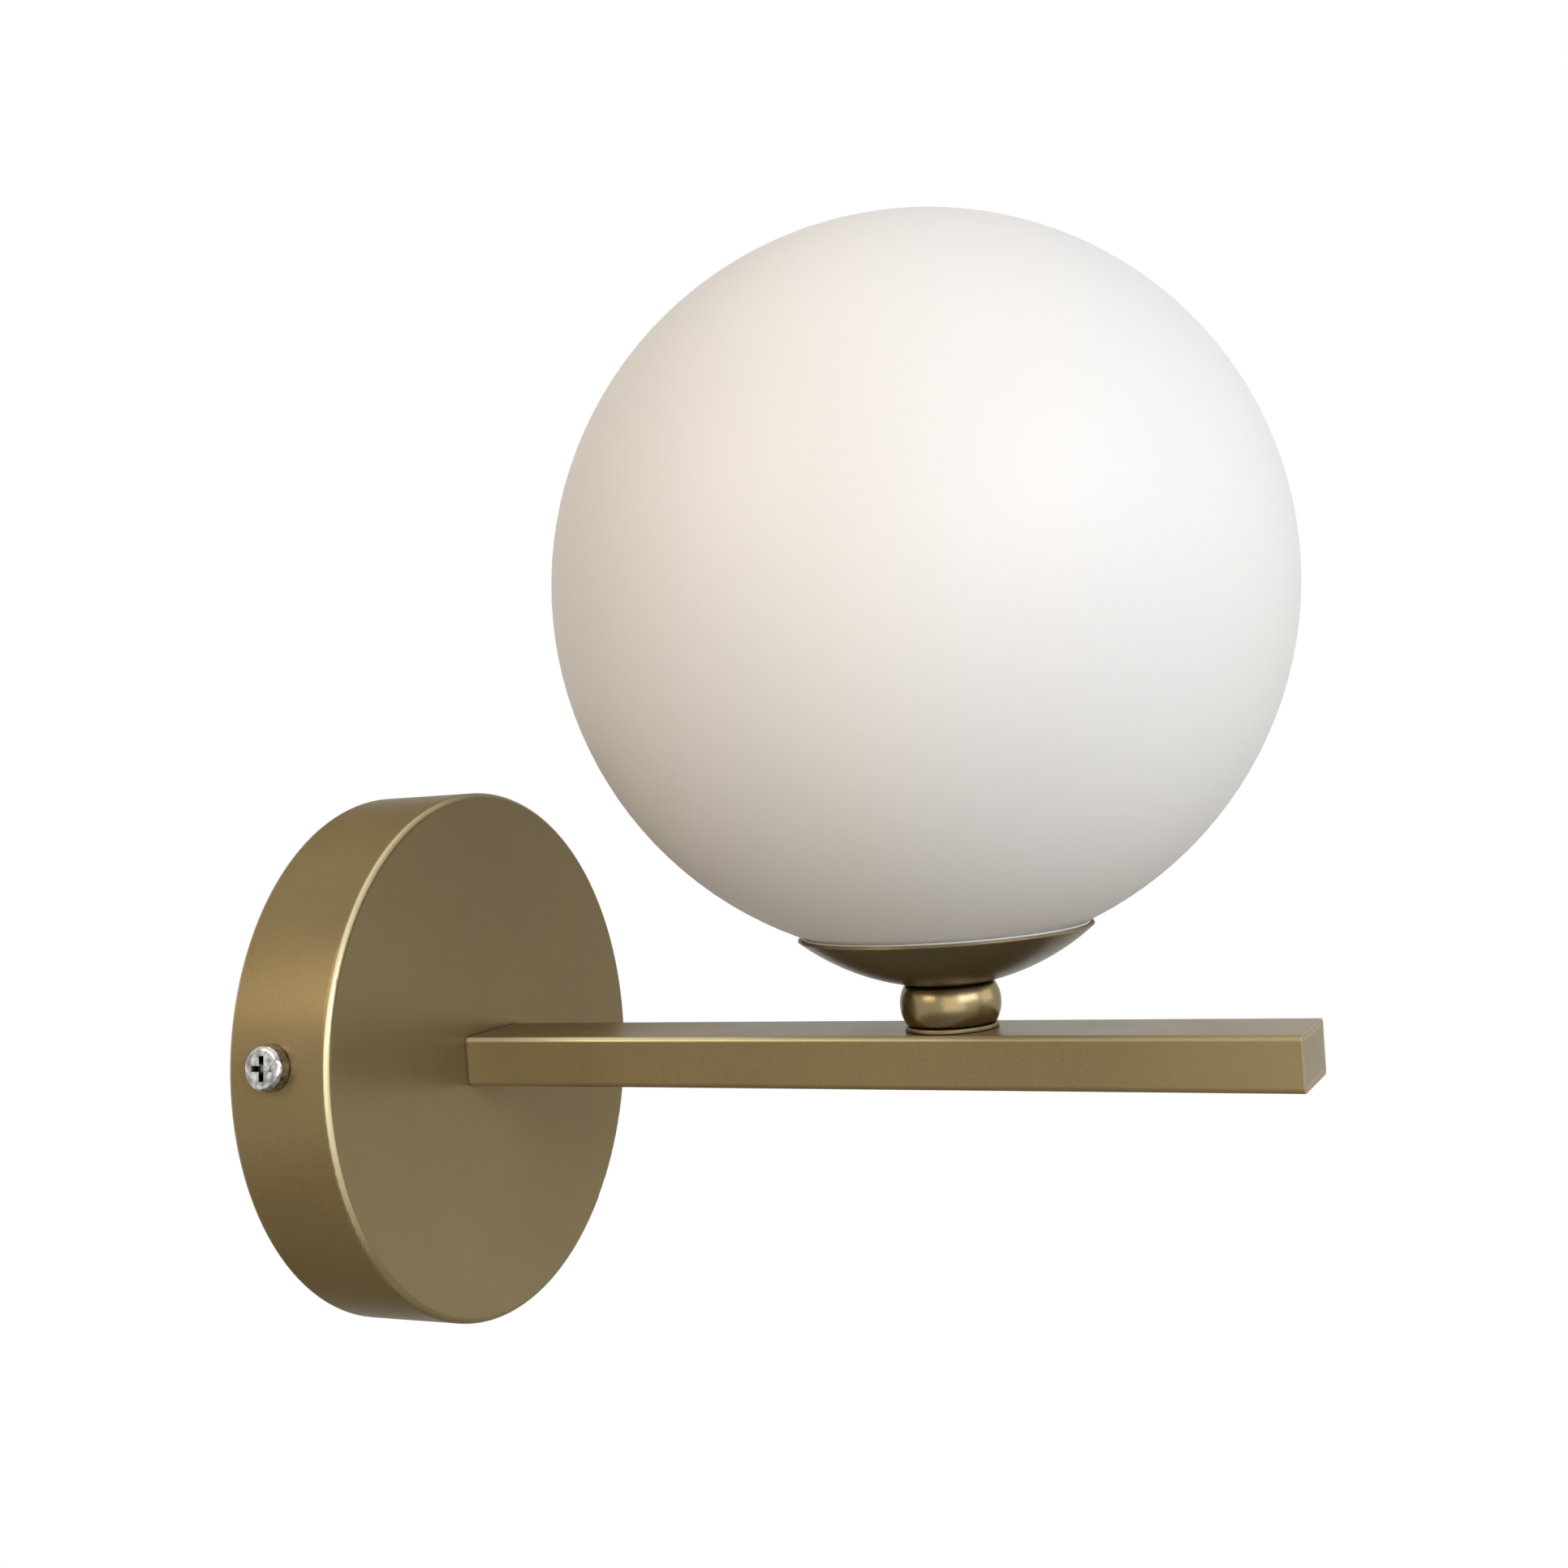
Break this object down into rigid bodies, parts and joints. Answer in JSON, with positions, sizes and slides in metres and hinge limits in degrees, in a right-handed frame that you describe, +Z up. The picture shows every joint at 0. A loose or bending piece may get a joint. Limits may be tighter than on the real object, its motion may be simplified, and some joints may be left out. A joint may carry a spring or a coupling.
{
  "type": "globe wall sconce",
  "caption": "Wall light with an opal glass globe standing in a small dished cup on a flat rectangular arm, carried by a round wall plate.",
  "frame": {"origin": "centre of the wall plate's open back, on the wall surface, midway between the two wall screws", "axes": "+Y into the wall, so the light stands out along -Y; +Z up; the globe's axis is parallel to Z"},
  "size_m": [0.15, 0.2125, 0.2304],
  "materials": {
    "satin_gold": "satin antique-gold lacquer",
    "bright_chrome": "polished",
    "zinc_steel": "bright zinc plate",
    "spring_steel": "bare spring steel",
    "brass_metal": "bare brass",
    "black_rubber": "matte",
    "clear_silicone": "translucent silicone",
    "white_plastic": "matte",
    "white_ceramic": "unglazed steatite",
    "brown_insulation": "extruded sheath",
    "blue_insulation": "extruded sheath",
    "green_yellow_insulation": "extruded sheath",
    "opal_glass": "satin-etched opal glass, not see-through",
    "frosted_bulb": "frosted",
    "led_core": "phosphor coated"
  },
  "bodies": {
    "fixture": {"wall_bracket": "zinc_steel", "bracket_weld_nuts": "zinc_steel", "cable_grommet": "black_rubber", "terminal_block": "white_plastic", "terminal_clamps": "brass_metal", "terminal_clamp_screws": "zinc_steel", "terminal_fixing_screw": "zinc_steel", "earth_screw": "brass_metal", "earth_ring_tag": "zinc_steel", "canopy": "satin_gold", "arm_backing_plate": "zinc_steel", "arm_tube": "satin_gold", "arm_end_cap": "satin_gold", "arm_root_plug": "zinc_steel", "arm_screws": "zinc_steel", "arm_lock_washers": "zinc_steel", "root_bushing": "white_plastic", "stem_nipple": "zinc_steel", "stem_nut": "zinc_steel", "foot_ring": "satin_gold", "bead": "satin_gold", "cup": "satin_gold", "cup_gasket": "clear_silicone", "spring_cage": "spring_steel", "holder_saddle": "zinc_steel", "cup_lock_washer": "zinc_steel", "cup_nut": "zinc_steel", "nipple_bushing": "white_plastic", "lampholder_body": "white_ceramic", "lampholder_contacts": "spring_steel", "holder_screws": "zinc_steel", "live_lead": "brown_insulation", "neutral_lead": "blue_insulation", "earth_lead": "green_yellow_insulation"},
    "left_screw": {"side_screw_left": "bright_chrome"},
    "right_screw": {"side_screw_right": "bright_chrome"},
    "globe": {"globe": "opal_glass", "globe_collar": "white_plastic"},
    "bulb": {"bulb_envelope": "frosted_bulb", "bulb_core": "led_core", "bulb_base": "white_plastic", "bulb_pins": "zinc_steel"}
  },
  "joints": [
    {"name": "left_screw_out", "type": "slide", "parent": "fixture", "child": "left_screw", "axis": [-0.9925, 0, 0.1219], "range_m": [0, 0.012]},
    {"name": "right_screw_out", "type": "slide", "parent": "fixture", "child": "right_screw", "axis": [0.9925, 0, -0.1219], "range_m": [0, 0.012]},
    {"name": "globe_lift", "type": "slide", "parent": "fixture", "child": "globe", "axis": [0, 0, 1], "range_m": [0, 0.08]},
    {"name": "bulb_pull", "type": "slide", "parent": "fixture", "child": "bulb", "axis": [0, 0, 1], "range_m": [0, 0.015]}
  ]
}
